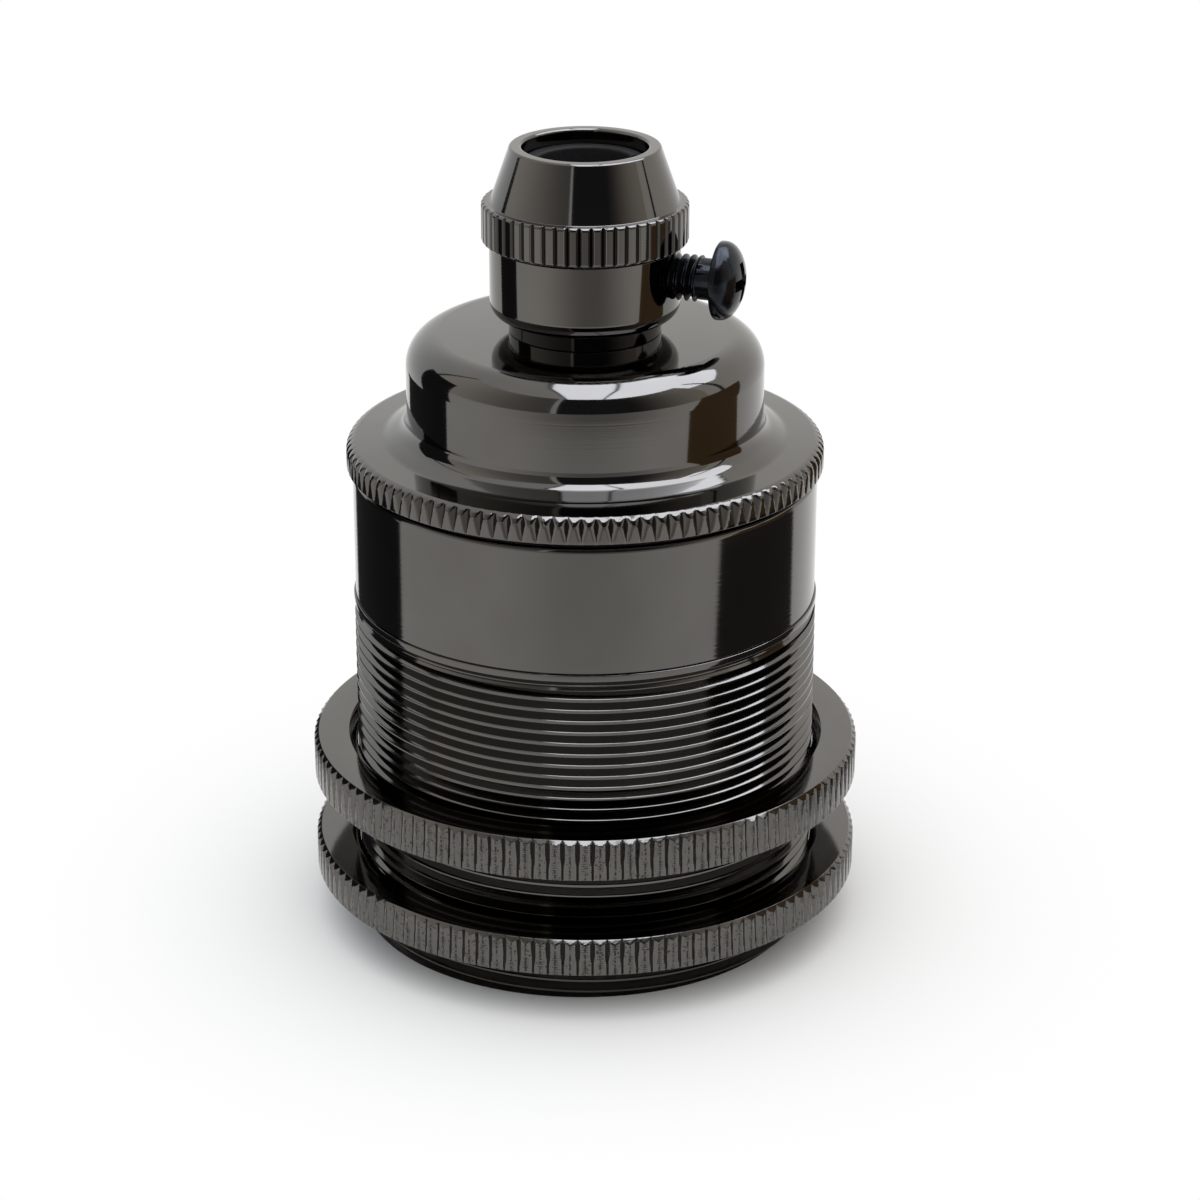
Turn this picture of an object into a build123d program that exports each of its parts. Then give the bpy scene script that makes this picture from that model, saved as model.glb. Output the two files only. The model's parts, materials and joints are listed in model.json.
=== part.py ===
from build123d import *
import os
from math import atan2, cos, pi, radians, sin, tan

os.makedirs("parts", exist_ok=True)

# An E27 lamp holder that stands mouth down. The origin is the centre of the sleeve's lower end,
# +Z is up along the axis, and the clamp screw points to +X, turned a little towards -Y.

# Fits, all radial
thread_gap = 0.08  # between two threads that turn on each other
joint_gap = 0.05  # between a shank or nipple and its tight hole
porcelain_gap = 0.2  # round the porcelain in its sleeve
dome_gap = 0.5  # round the porcelain's boss in the cap's dome
shell_gap = 0.3  # round the screw shell in the porcelain

# Outer sleeve: everything across it follows from its thread
sleeve_thread_dia = 40.0
sleeve_thread_top = 28.5
sleeve_height = 41.0
sleeve_body_step = 0.1
sleeve_edge = 0.3
sleeve_wall = 2.2
relief_depth = 0.55
relief_height = 0.6
strip_stand = 0.05
strip_height = 0.85
lip_width = 1.8
lip_height = 1.4
foot_chamfer = 0.1

# Shade rings
ring_width = 3.9
ring_chamfer = 0.4
ring_lead_in = 0.75
ring_notches = 120
ring_notch_depth = 0.46
ring_notch_end = 0.08
ring_notch_angle = 96.0
lower_ring_seat = 4.35
lower_ring_height = 3.15
upper_ring_seat = 13.2
upper_ring_height = 3.5

# Cap
seam_gap = 0.55
rim_overhang = 0.5
rim_edge = 0.9
rim_rise = 0.7
rim_notches = 105
rim_notch_depth = 0.55
rim_notch_end = 0.06
rim_notch_angle = 96.0
seat_above_rim = 1.45
cap_thread_inset = 1.15
cap_thread_length = 3.6
cap_thread_relief = 0.5
skirt_wall = 0.85
flange_width = 5.2
dome_foot_rise = 1.55
dome_foot_radius = 1.3
crown_rise = 10.2
crown_radius = 2.6
crown_fall = 0.25
cap_wall = 1.0

# Cord grip
grip_height = 15.9
grip_neck_step = 1.59
grip_neck_height = 1.3
barrel_dia = 16.08
barrel_round = 1.4
collar_foot = 7.85
collar_height = 3.35
collar_stand = 0.64
collar_edge = 0.3
flutes = 54
flute_width = 0.42
flute_depth = 0.36
cone_step = 0.09
mouth_wall = 1.05
mouth_edge = 0.25
liner_room = 0.25

# Clamp screw
screw_dia = 3.9
screw_length = 7.4
screw_tip = 0.4
screw_head_dia = 6.6
screw_head_height = 2.2
screw_head_side = 0.4
screw_neck_dia = 3.4
screw_neck_length = 1.0
screw_level = 5.35
screw_head_gap = 3.56
screw_turn = 18.0
recess_width = 1.1
recess_span = 3.8
recess_depth = 1.4

# Grip liner
liner_wall = 1.2
liner_below_mouth = 1.2
liner_gap = 4.6

# Nipple, nut and washer
nipple_dia = 10.0
nipple_wall = 1.25
nipple_engagement = 3.2
nipple_tail = 0.5
nut_width = 14.0
nut_height = 2.8
washer_width = 2.8
washer_thick = 0.5
washer_teeth = 12
washer_tooth_depth = 1.2
washer_tooth_gap = 1.1

# Earth tag and its screw
tag_ring_width = 2.5
tag_thick = 0.8
tag_width = 6.2
tag_ear_gap = 1.9
tag_drop = 6.6
tag_screw_drop = 4.0
tag_screw_dia = 3.5
tag_screw_length = 2.2
tag_screw_head_dia = 5.2
tag_screw_head_height = 1.7

# Porcelain body
deck_level = 30.0
mouth_chamfer = 1.0
boss_height = 1.6
pocket_depth = 5.0
pocket_inset = 1.0
well_inset = 0.6
well_depth = 3.0

# Screw shell
shell_bottom = 6.0
shell_sheet = 0.4
shell_bore_dia = 26.6
shell_bore_length = 19.5
shell_shoulder = 0.9
shell_flange_gap = 1.8
shell_flange_side = 4.0

# Centre contact and its button
leaf_sheet = 0.5
leaf_width = 5.0
leaf_margin = 2.0
leaf_bend_place = 2.1
leaf_fall = 2.4
leaf_tip_half = 3.2
button_dia = 4.6
button_height = 1.2
button_dome = 0.6
button_stem_dia = 2.0
button_collar_dia = 3.0
button_collar_height = 0.35

# Terminals, rivets and wire screws
terminal_margin = 1.1
terminal_length = 5.6
terminal_width = 5.5
terminal_height = 6.0
wire_hole_dia = 2.5
wire_hole_rise = 3.1
rivet_inset = 2.0
rivet_dia = 2.4
rivet_head_dia = 3.8
rivet_head_height = 0.8
rivet_engagement = 1.2
wire_screw_inset = 2.2
wire_screw_dia = 3.0
wire_screw_length = 4.0
wire_screw_head_dia = 4.5
wire_screw_head_height = 1.8
wire_screw_stand = 1.2
tip_relief = 0.2
slot_width = 0.7
slot_depth = 0.8

# Radii that follow from the values above
sleeve_radius = sleeve_thread_dia / 2
body_radius = sleeve_radius - sleeve_body_step
sleeve_bore = sleeve_radius - sleeve_wall
ring_radius = sleeve_radius + ring_width
rim_radius = body_radius + rim_overhang
skirt_radius = body_radius - cap_thread_inset
dome_radius = rim_radius - flange_width
dome_bore = dome_radius - cap_wall
barrel_radius = barrel_dia / 2
neck_radius = barrel_radius - grip_neck_step
collar_radius = barrel_radius + collar_stand
cone_foot = barrel_radius - cone_step
screw_stand_off = barrel_radius + screw_head_gap
nipple_radius = nipple_dia / 2
nipple_hole = nipple_radius + joint_gap
mouth_radius = nipple_radius + liner_room
cone_top = mouth_radius + mouth_wall
liner_radius = mouth_radius - joint_gap
washer_radius = nipple_radius + washer_width
shank_hole = screw_dia / 2 + joint_gap
rivet_hole = rivet_dia / 2 + joint_gap
porcelain_radius = sleeve_bore - porcelain_gap
boss_radius = dome_bore - dome_gap
shell_bore = shell_bore_dia / 2
shell_radius = shell_bore + shell_sheet
shell_neck = shell_bore - shell_shoulder
cavity_radius = shell_radius + shell_gap

# Places across the holder, from the middle out
terminal_outer = boss_radius - terminal_margin
terminal_inner = terminal_outer - terminal_length
pocket_start = terminal_inner - pocket_inset
well_radius = terminal_inner - well_inset
rivet_place = terminal_inner + rivet_inset
wire_screw_place = terminal_outer - wire_screw_inset
flange_inner = rivet_place - shell_flange_gap
leaf_root = -rivet_place - leaf_margin
leaf_bend = -rivet_place + leaf_bend_place
tag_reach = dome_bore - tag_ear_gap
tag_face = tag_reach - tag_thick

# Levels that follow from the values above
strip_bottom = sleeve_thread_top + relief_height
rim_bottom = sleeve_height + seam_gap
cap_seat = rim_bottom + seat_above_rim
rim_top = cap_seat + rim_rise
skirt_bottom = rim_bottom - cap_thread_length
crown_top = cap_seat + crown_rise
crown_under = crown_top - cap_wall
washer_top = crown_under - tag_thick
nut_top = washer_top - washer_thick
nut_bottom = nut_top - nut_height
nipple_top = crown_top + nipple_engagement
grip_top = crown_top + grip_height
liner_top = grip_top - liner_below_mouth
screw_height = crown_top + screw_level
boss_top = cap_seat + boss_height
pocket_floor = boss_top - pocket_depth
terminal_top = pocket_floor + terminal_height
wire_level = pocket_floor + wire_hole_rise
leaf_top = deck_level - leaf_fall
tag_screw_level = crown_under - tag_screw_drop

# The clamp screw's plane: its X runs out along the screw, its Y is up
screw_out = (cos(radians(screw_turn)), -sin(radians(screw_turn)), 0)
screw_side = (-sin(radians(screw_turn)), -cos(radians(screw_turn)), 0)
screw_plane = Plane(origin=(0, 0, screw_height), x_dir=screw_out, z_dir=screw_side)


def keep(piece, name):
    """Label a finished piece and write its STEP file."""
    piece.part.label = name
    export_step(piece.part, f"parts/{name}.step")


def box_between(low, high, mode=Mode.ADD):
    """A box from its lowest corner to its highest."""
    middle = tuple((low[axis] + high[axis]) / 2 for axis in range(3))
    size = [high[axis] - low[axis] for axis in range(3)]
    with Locations(middle):
        Box(*size, mode=mode)


def leaning_notch(radius, bottom, top, depth, end_depth, angle):
    """A V cutter whose root leans in: a notch is deep at the top and nearly runs out below."""
    rise = top - bottom
    lean = depth - end_depth
    spread = 2 * depth * tan(radians(angle / 2))
    root_plane = Plane(
        origin=(radius - end_depth, 0, bottom), x_dir=(rise, 0, lean), z_dir=(-lean, 0, rise)
    )
    with BuildPart() as notch:
        with BuildSketch(root_plane):
            Polygon((0, 0), (2 * depth, -spread), (2 * depth, spread), align=None)
        extrude(amount=2 * rise, both=True)
    return notch.part


# Outer sleeve: threaded below, then a relief groove, a raised strip and the smooth body
with BuildPart() as outer_sleeve:
    lip_radius = sleeve_bore - lip_width
    relief_radius = sleeve_radius - relief_depth
    strip_radius = sleeve_radius + strip_stand
    cap_thread_bore = skirt_radius + thread_gap
    cap_thread_floor = skirt_bottom - cap_thread_relief
    with BuildSketch(Plane.XZ):
        with BuildLine():
            Polyline(
                (lip_radius, 0),
                (sleeve_radius - foot_chamfer, 0),
                (sleeve_radius, foot_chamfer),
                (sleeve_radius, sleeve_thread_top),
                (relief_radius, sleeve_thread_top),
                (relief_radius, strip_bottom),
                (strip_radius, strip_bottom),
                (strip_radius, strip_bottom + strip_height),
                (body_radius, strip_bottom + strip_height),
                (body_radius, sleeve_height - sleeve_edge),
                (body_radius - sleeve_edge, sleeve_height),
                (cap_thread_bore, sleeve_height),
                (cap_thread_bore, cap_thread_floor),
                (sleeve_bore, cap_thread_floor),
                (sleeve_bore, lip_height),
                (lip_radius, lip_height),
                close=True,
            )
        make_face()
    revolve(axis=Axis.Z)
keep(outer_sleeve, "outer_sleeve")

# Shade rings: two ring nuts on the sleeve's thread, notched all round
ring_places = (
    ("lower", lower_ring_seat, lower_ring_height),
    ("upper", upper_ring_seat, upper_ring_height),
)
for ring_name, ring_seat, ring_height in ring_places:
    ring_top = ring_seat + ring_height
    ring_notch = leaning_notch(
        ring_radius, ring_seat, ring_top, ring_notch_depth, ring_notch_end, ring_notch_angle
    )
    with BuildPart() as shade_ring:
        ring_bore = sleeve_radius + thread_gap
        with BuildSketch(Plane.XZ):
            with BuildLine():
                Polyline(
                    (ring_bore, ring_seat + ring_lead_in),
                    (ring_bore + ring_lead_in, ring_seat),
                    (ring_radius, ring_seat),
                    (ring_radius, ring_top - ring_chamfer),
                    (ring_radius - ring_chamfer, ring_top),
                    (ring_bore + ring_lead_in, ring_top),
                    (ring_bore, ring_top - ring_lead_in),
                    close=True,
                )
            make_face()
        revolve(axis=Axis.Z)
        with PolarLocations(0, ring_notches):
            add(ring_notch, mode=Mode.SUBTRACT)
    keep(shade_ring, f"{ring_name}_shade_ring")

# Cap: crown, dome, flange, notched rim and the threaded skirt that goes into the sleeve
with BuildPart() as cap:
    inner_corner = 0.7 * (crown_radius - cap_wall)
    flange_lean = atan2(dome_foot_rise - rim_rise, flange_width)
    rim_edge_x = rim_radius - rim_edge
    rim_edge_z = rim_top + rim_edge * (tan(flange_lean) - 1 / cos(flange_lean))
    rim_corner = [
        (rim_edge_x + rim_edge * cos(turn), rim_edge_z + rim_edge * sin(turn))
        for turn in (pi / 2 - flange_lean, pi / 4 - flange_lean / 2, 0)
    ]
    with BuildSketch(Plane.XZ):
        with BuildLine():
            FilletPolyline(
                (nipple_hole, crown_top),
                (neck_radius, crown_top),
                (dome_radius, crown_top - crown_fall),
                (dome_radius, cap_seat + dome_foot_rise),
                *rim_corner,
                (rim_radius, rim_bottom),
                (skirt_radius, rim_bottom),
                (skirt_radius, skirt_bottom),
                (skirt_radius - skirt_wall, skirt_bottom),
                (skirt_radius - skirt_wall, cap_seat),
                (dome_bore, cap_seat),
                (dome_bore, crown_under - inner_corner),
                (dome_bore - inner_corner, crown_under),
                (nipple_hole, crown_under),
                radius=[0, 0, crown_radius, dome_foot_radius] + 12 * [0],
                close=True,
            )
        make_face()
    revolve(axis=Axis.Z)
    rim_notch = leaning_notch(
        rim_radius, rim_bottom, rim_top, rim_notch_depth, rim_notch_end, rim_notch_angle
    )
    with PolarLocations(0, rim_notches):
        add(rim_notch, mode=Mode.SUBTRACT)
keep(cap, "cap")

# Cord grip: cone, fluted collar and barrel in one turned piece, screwed on the nipple
with BuildPart() as cord_grip:
    collar_low = crown_top + collar_foot
    collar_high = collar_low + collar_height
    with BuildSketch(Plane.XZ):
        with BuildLine():
            FilletPolyline(
                (nipple_hole, crown_top),
                (neck_radius, crown_top),
                (neck_radius, crown_top + grip_neck_height),
                (barrel_radius, crown_top + grip_neck_height),
                (barrel_radius, collar_low),
                (collar_radius - collar_edge, collar_low),
                (collar_radius, collar_low + collar_edge),
                (collar_radius, collar_high - collar_edge),
                (collar_radius - collar_edge, collar_high),
                (cone_foot, collar_high),
                (cone_top, grip_top - mouth_edge),
                (cone_top - mouth_edge, grip_top),
                (mouth_radius + mouth_edge, grip_top),
                (mouth_radius, grip_top - mouth_edge),
                (mouth_radius, nipple_top),
                (nipple_hole, nipple_top),
                radius=[0, 0, 0, barrel_round] + 12 * [0],
                close=True,
            )
        make_face()
    revolve(axis=Axis.Z)
    with BuildSketch(Plane.XY.offset(collar_low)):
        with PolarLocations(collar_radius, flutes):
            Rectangle(2 * flute_depth, flute_width)
    extrude(amount=collar_height, mode=Mode.SUBTRACT)
    with BuildSketch(Plane(origin=(0, 0, screw_height), z_dir=screw_out)):
        Circle(shank_hole)
    extrude(amount=collar_radius, mode=Mode.SUBTRACT)
keep(cord_grip, "cord_grip")

# Clamp screw: domed head with a cross recess, a plain neck and the shank
with BuildPart() as clamp_screw:
    screw_end = screw_stand_off - screw_length
    head_end = screw_stand_off + screw_head_height
    head_side = screw_stand_off + screw_head_side
    neck_start = screw_stand_off - screw_neck_length
    with BuildSketch(screw_plane):
        with BuildLine():
            Polyline(
                (head_end, 0),
                (screw_end, 0),
                (screw_end, screw_dia / 2 - screw_tip),
                (screw_end + screw_tip, screw_dia / 2),
                (neck_start, screw_dia / 2),
                (neck_start, screw_neck_dia / 2),
                (screw_stand_off, screw_neck_dia / 2),
                (screw_stand_off, screw_head_dia / 2),
                (head_side, screw_head_dia / 2),
            )
            dome_rise = head_end - head_side
            dome_ball = (dome_rise**2 + (screw_head_dia / 2) ** 2) / (2 * dome_rise)
            RadiusArc((head_side, screw_head_dia / 2), (head_end, 0), dome_ball)
        make_face()
    revolve(axis=Axis((0, 0, screw_height), screw_out))
    with BuildSketch(Plane(origin=(0, 0, screw_height), z_dir=screw_out).offset(head_end)):
        Rectangle(recess_span, recess_width)
        Rectangle(recess_width, recess_span)
    extrude(amount=-recess_depth, mode=Mode.SUBTRACT)
keep(clamp_screw, "clamp_screw")

# Grip liner: a split sleeve that stands on the nipple, open towards the clamp screw
with BuildPart() as grip_liner:
    with BuildSketch(Plane.XY.offset(nipple_top)):
        Circle(liner_radius)
        Circle(liner_radius - liner_wall, mode=Mode.SUBTRACT)
        with Locations(Location((0, 0, 0), (0, 0, -screw_turn))):
            Rectangle(
                2 * liner_radius, liner_gap, align=(Align.MIN, Align.CENTER), mode=Mode.SUBTRACT
            )
    extrude(amount=liner_top - nipple_top)
keep(grip_liner, "grip_liner")

# Threaded nipple: the hollow tube that joins grip and cap
with BuildPart() as threaded_nipple:
    with BuildSketch(Plane.XY.offset(nut_bottom - nipple_tail)):
        Circle(nipple_radius)
        Circle(nipple_radius - nipple_wall, mode=Mode.SUBTRACT)
    extrude(amount=nipple_top - nut_bottom + nipple_tail)
keep(threaded_nipple, "threaded_nipple")

# Lock nut under the crown, with flats towards the terminals
with BuildPart() as lock_nut:
    with BuildSketch(Plane.XY.offset(nut_bottom)):
        RegularPolygon(nut_width / 2, 6, major_radius=False, rotation=30)
        Circle(nipple_hole, mode=Mode.SUBTRACT)
    extrude(amount=nut_height)
keep(lock_nut, "lock_nut")

# Star washer between nut and earth tag
with BuildPart() as star_washer:
    with BuildSketch(Plane.XY.offset(nut_top)):
        Circle(washer_radius)
        Circle(nipple_hole, mode=Mode.SUBTRACT)
        with PolarLocations(washer_radius, washer_teeth):
            Rectangle(2 * washer_tooth_depth, washer_tooth_gap, mode=Mode.SUBTRACT)
    extrude(amount=washer_thick)
keep(star_washer, "star_washer")

# Earth tag: a ring under the crown with an ear bent down for the earth screw
with BuildPart() as earth_tag:
    with BuildSketch(Plane.XY.offset(washer_top)):
        Circle(nipple_radius + tag_ring_width)
        Rectangle(tag_width, tag_reach, align=(Align.CENTER, Align.MIN))
        Circle(nipple_hole, mode=Mode.SUBTRACT)
    extrude(amount=tag_thick)
    box_between(
        (-tag_width / 2, tag_face, crown_under - tag_drop), (tag_width / 2, tag_reach, crown_under)
    )
    with BuildSketch(Plane(origin=(0, tag_face, tag_screw_level), z_dir=(0, 1, 0))):
        Circle(tag_screw_dia / 2 + joint_gap)
    extrude(amount=tag_thick, mode=Mode.SUBTRACT)
keep(earth_tag, "earth_tag")

# Porcelain body: a cup round the screw shell, its deck and a boss with the terminals' pockets
with BuildPart() as porcelain_body:
    with BuildSketch(Plane.XZ):
        with BuildLine():
            Polyline(
                (0, deck_level),
                (cavity_radius, deck_level),
                (cavity_radius, lip_height + mouth_chamfer),
                (cavity_radius + mouth_chamfer, lip_height),
                (porcelain_radius, lip_height),
                (porcelain_radius, cap_seat),
                (boss_radius, cap_seat),
                (boss_radius, boss_top),
                (0, boss_top),
                close=True,
            )
        make_face()
    revolve(axis=Axis.Z)
    with BuildSketch(Plane.XY.offset(boss_top)):
        Circle(well_radius)
    extrude(amount=-well_depth, mode=Mode.SUBTRACT)
    pocket_half = terminal_width / 2 + joint_gap
    for side in (-1, 1):
        near = side * pocket_start
        far = side * (terminal_outer + joint_gap)
        box_between(
            (min(near, far), -pocket_half, pocket_floor),
            (max(near, far), pocket_half, boss_top),
            mode=Mode.SUBTRACT,
        )
    with BuildSketch(Plane.XY.offset(deck_level)):
        with Locations((-rivet_place, 0), (rivet_place, 0)):
            Circle(rivet_hole)
    extrude(amount=pocket_floor - deck_level, mode=Mode.SUBTRACT)
keep(porcelain_body, "porcelain_body")

# Screw shell: a sheet tube with a shoulder, and a half flange that is riveted under the deck
with BuildPart() as screw_shell:
    bore_end = shell_bottom + shell_bore_length
    shoulder_end = bore_end + shell_shoulder
    with BuildSketch(Plane.XZ):
        with BuildLine():
            Polyline(
                (shell_bore, shell_bottom),
                (shell_radius, shell_bottom),
                (shell_radius, bore_end),
                (shell_neck + shell_sheet, shoulder_end),
                (shell_neck + shell_sheet, deck_level),
                (flange_inner, deck_level),
                (flange_inner, deck_level - shell_sheet),
                (shell_neck, deck_level - shell_sheet),
                (shell_neck, shoulder_end),
                (shell_bore, bore_end),
                close=True,
            )
        make_face()
    revolve(axis=Axis.Z)
    with BuildSketch(Plane.XY.offset(deck_level)):
        Circle(shell_neck)
        with Locations((flange_inner - shell_flange_side, 0)):
            Rectangle(
                2 * shell_neck, 2 * shell_neck, align=(Align.MAX, Align.CENTER),
                mode=Mode.INTERSECT,
            )
        with Locations((rivet_place, 0)):
            Circle(rivet_hole)
    extrude(amount=-shell_sheet, mode=Mode.SUBTRACT)
keep(screw_shell, "screw_shell")

# Centre contact: a leaf riveted under the deck that slopes down to a flat tip
with BuildPart() as centre_contact:
    upper_edge = [
        (leaf_root, deck_level),
        (leaf_bend, deck_level),
        (-leaf_tip_half, leaf_top),
        (leaf_tip_half, leaf_top),
    ]
    lower_edge = [(along, level - leaf_sheet) for along, level in upper_edge]
    with BuildSketch(Plane.XZ):
        with BuildLine():
            Polyline(*upper_edge, *reversed(lower_edge), close=True)
        make_face()
    extrude(amount=leaf_width / 2, both=True)
    with BuildSketch(Plane.XY.offset(deck_level)):
        with Locations((-rivet_place, 0)):
            Circle(rivet_hole)
        Circle(button_stem_dia / 2 + joint_gap)
    extrude(amount=-leaf_fall - leaf_sheet, mode=Mode.SUBTRACT)
keep(centre_contact, "centre_contact")

# Contact button: riveted in the leaf's tip, domed towards the lamp
with BuildPart() as contact_button:
    button_top = leaf_top - leaf_sheet
    button_end = button_top - button_height
    button_ball = (button_dome**2 + (button_dia / 2) ** 2) / (2 * button_dome)
    with BuildSketch(Plane.XZ):
        with BuildLine():
            Polyline(
                (button_dia / 2, button_end + button_dome),
                (button_dia / 2, button_top),
                (button_stem_dia / 2, button_top),
                (button_stem_dia / 2, leaf_top),
                (button_collar_dia / 2, leaf_top),
                (button_collar_dia / 2, leaf_top + button_collar_height),
                (0, leaf_top + button_collar_height),
                (0, button_end),
            )
            RadiusArc((0, button_end), (button_dia / 2, button_end + button_dome), -button_ball)
        make_face()
    revolve(axis=Axis.Z)
keep(contact_button, "contact_button")

# Terminals: two equal blocks in the pockets, live at -X and neutral at +X
for terminal_name, side in (("live", -1), ("neutral", 1)):
    with BuildPart() as terminal:
        near = side * terminal_inner
        far = side * terminal_outer
        box_between(
            (min(near, far), -terminal_width / 2, pocket_floor),
            (max(near, far), terminal_width / 2, terminal_top),
        )
        with BuildSketch(Plane(origin=(0, 0, wire_level), z_dir=(side, 0, 0))):
            Circle(wire_hole_dia / 2)
        extrude(amount=terminal_outer, mode=Mode.SUBTRACT)
        with BuildSketch(Plane.XY.offset(terminal_top)):
            with Locations((side * wire_screw_place, 0)):
                Circle(wire_screw_dia / 2 + joint_gap)
        extrude(
            amount=wire_level - wire_hole_dia / 2 - tip_relief - terminal_top, mode=Mode.SUBTRACT
        )
        with BuildSketch(Plane.XY.offset(pocket_floor)):
            with Locations((side * rivet_place, 0)):
                Circle(rivet_hole)
        extrude(amount=rivet_engagement, mode=Mode.SUBTRACT)
    keep(terminal, f"{terminal_name}_terminal")

# Rivets: from the leaf or the shell's flange up through the porcelain into the terminals
for rivet_name, side, sheet in (("live", -1, leaf_sheet), ("neutral", 1, shell_sheet)):
    with BuildPart() as rivet:
        with BuildSketch(Plane.XY.offset(deck_level - sheet)):
            with Locations((side * rivet_place, 0)):
                Circle(rivet_dia / 2)
        extrude(amount=pocket_floor + rivet_engagement - deck_level + sheet)
        with BuildSketch(Plane.XY.offset(deck_level - sheet)):
            with Locations((side * rivet_place, 0)):
                Circle(rivet_head_dia / 2)
        extrude(amount=-rivet_head_height)
    keep(rivet, f"{rivet_name}_rivet")

# Slotted screws: each plane stands at the head's underside, with X from the head to the tip
wire_screw_seat = terminal_top + wire_screw_stand
wire_screw_sizes = (
    wire_screw_dia, wire_screw_length, wire_screw_head_dia, wire_screw_head_height
)
tag_screw_sizes = (tag_screw_dia, tag_screw_length, tag_screw_head_dia, tag_screw_head_height)
slotted_screws = (
    ("live_screw", (-wire_screw_place, 0, wire_screw_seat), (0, 0, -1), wire_screw_sizes),
    ("neutral_screw", (wire_screw_place, 0, wire_screw_seat), (0, 0, -1), wire_screw_sizes),
    ("earth_screw", (0, tag_face, tag_screw_level), (0, 1, 0), tag_screw_sizes),
)
for slotted_name, seat, inward, sizes in slotted_screws:
    shank_dia, shank_length, head_dia, head_height = sizes
    with BuildPart() as slotted_screw:
        seat_plane = Plane(origin=seat, x_dir=inward, z_dir=(1, 0, 0))
        with BuildSketch(seat_plane):
            with BuildLine():
                Polyline(
                    (-head_height, 0),
                    (-head_height, head_dia / 2),
                    (0, head_dia / 2),
                    (0, shank_dia / 2),
                    (shank_length, shank_dia / 2),
                    (shank_length, 0),
                    close=True,
                )
            make_face()
        revolve(axis=Axis(seat, inward))
        with BuildSketch(seat_plane):
            with Locations((-head_height, 0)):
                Rectangle(slot_depth, slot_width, align=(Align.MIN, Align.CENTER))
        extrude(amount=head_dia / 2, both=True, mode=Mode.SUBTRACT)
    keep(slotted_screw, slotted_name)
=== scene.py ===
import json
import math

import bmesh
import bpy
from mathutils import Matrix, Vector


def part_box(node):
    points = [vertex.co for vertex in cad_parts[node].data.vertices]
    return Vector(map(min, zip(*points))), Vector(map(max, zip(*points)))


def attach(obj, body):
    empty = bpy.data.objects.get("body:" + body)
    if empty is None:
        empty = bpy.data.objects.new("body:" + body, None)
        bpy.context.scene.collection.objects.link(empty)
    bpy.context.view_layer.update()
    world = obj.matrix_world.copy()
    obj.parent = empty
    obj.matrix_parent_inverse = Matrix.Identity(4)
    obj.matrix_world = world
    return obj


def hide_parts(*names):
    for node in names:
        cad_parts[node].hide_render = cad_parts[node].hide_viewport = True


# The looks of a polished black nickel lamp holder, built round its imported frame. Lengths in the
# named values are millimetres, and every mesh is in metres.
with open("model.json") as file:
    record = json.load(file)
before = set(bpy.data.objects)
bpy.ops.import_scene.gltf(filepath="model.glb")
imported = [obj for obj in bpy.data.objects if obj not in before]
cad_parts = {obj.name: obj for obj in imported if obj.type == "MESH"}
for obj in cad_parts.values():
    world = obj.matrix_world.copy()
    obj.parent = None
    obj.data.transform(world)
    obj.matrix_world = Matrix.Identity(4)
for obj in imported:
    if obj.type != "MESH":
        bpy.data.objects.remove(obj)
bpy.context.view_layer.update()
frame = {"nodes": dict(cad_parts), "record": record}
slots = {part["node"]: part["material_slot"] for part in frame["record"]["subparts"]}
MM = 0.001
TAU = 2 * math.pi


# Camera: the photograph's view, from the front and a little above

PHOTO_PIXELS = 1200
PHOTO_FOCAL_PIXELS = 3435
SENSOR_MM = 36.0
CAMERA_DOWN = math.radians(22.45)
CAMERA_DISTANCE = 299.4
CAMERA_AIM_HEIGHT = 28.4
CAMERA_NEAREST = 10.0
AXIS_PIXEL = 585.1


def place_camera():
    """The camera stands on -Y and looks down along the holder's axis plane."""
    camera = bpy.data.cameras.new("camera")
    camera.lens = SENSOR_MM * PHOTO_FOCAL_PIXELS / PHOTO_PIXELS
    camera.sensor_width = SENSOR_MM
    camera.shift_x = (PHOTO_PIXELS / 2 - AXIS_PIXEL) / PHOTO_PIXELS
    camera.clip_start = CAMERA_NEAREST * MM
    holder = bpy.data.objects.new("camera", camera)
    holder.location = (
        0,
        -CAMERA_DISTANCE * math.cos(CAMERA_DOWN) * MM,
        (CAMERA_AIM_HEIGHT + CAMERA_DISTANCE * math.sin(CAMERA_DOWN)) * MM,
    )
    holder.rotation_euler = (math.pi / 2 - CAMERA_DOWN, 0, 0)
    bpy.context.scene.collection.objects.link(holder)
    bpy.context.scene.camera = holder


# Shader maths: a socket that takes Python's operators


class Socket:
    """An output socket. An expression on it adds Math nodes."""

    def __init__(self, tree, output):
        self.tree = tree
        self.output = output

    def maths(self, operation, *values):
        settings = {"operation": operation}
        return add_node(self.tree, "ShaderNodeMath", settings, dict(enumerate(values)))

    def __add__(self, other):
        return self.maths("ADD", self, other)

    def __sub__(self, other):
        return self.maths("SUBTRACT", self, other)

    def __mul__(self, other):
        return self.maths("MULTIPLY", self, other)

    def __rsub__(self, other):
        return self.maths("SUBTRACT", other, self)

    __radd__ = __add__
    __rmul__ = __mul__

    def power(self, exponent):
        return self.maths("POWER", self, exponent)

    def larger(self, other):
        return self.maths("MAXIMUM", self, other)

    def angle(self, along):
        """The turn, in radians, from the other axis towards this one."""
        return self.maths("ARCTAN2", self, along)

    def ping_pong(self, scale):
        """Rises from 0 to scale and falls back, over and over."""
        return self.maths("PINGPONG", self, scale)

    def between(self, low, high):
        """0 below low, 1 above high, and a smooth ramp in between."""
        settings = {"interpolation_type": "SMOOTHSTEP"}
        return add_node(self.tree, "ShaderNodeMapRange", settings, {0: self, 1: low, 2: high})


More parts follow.
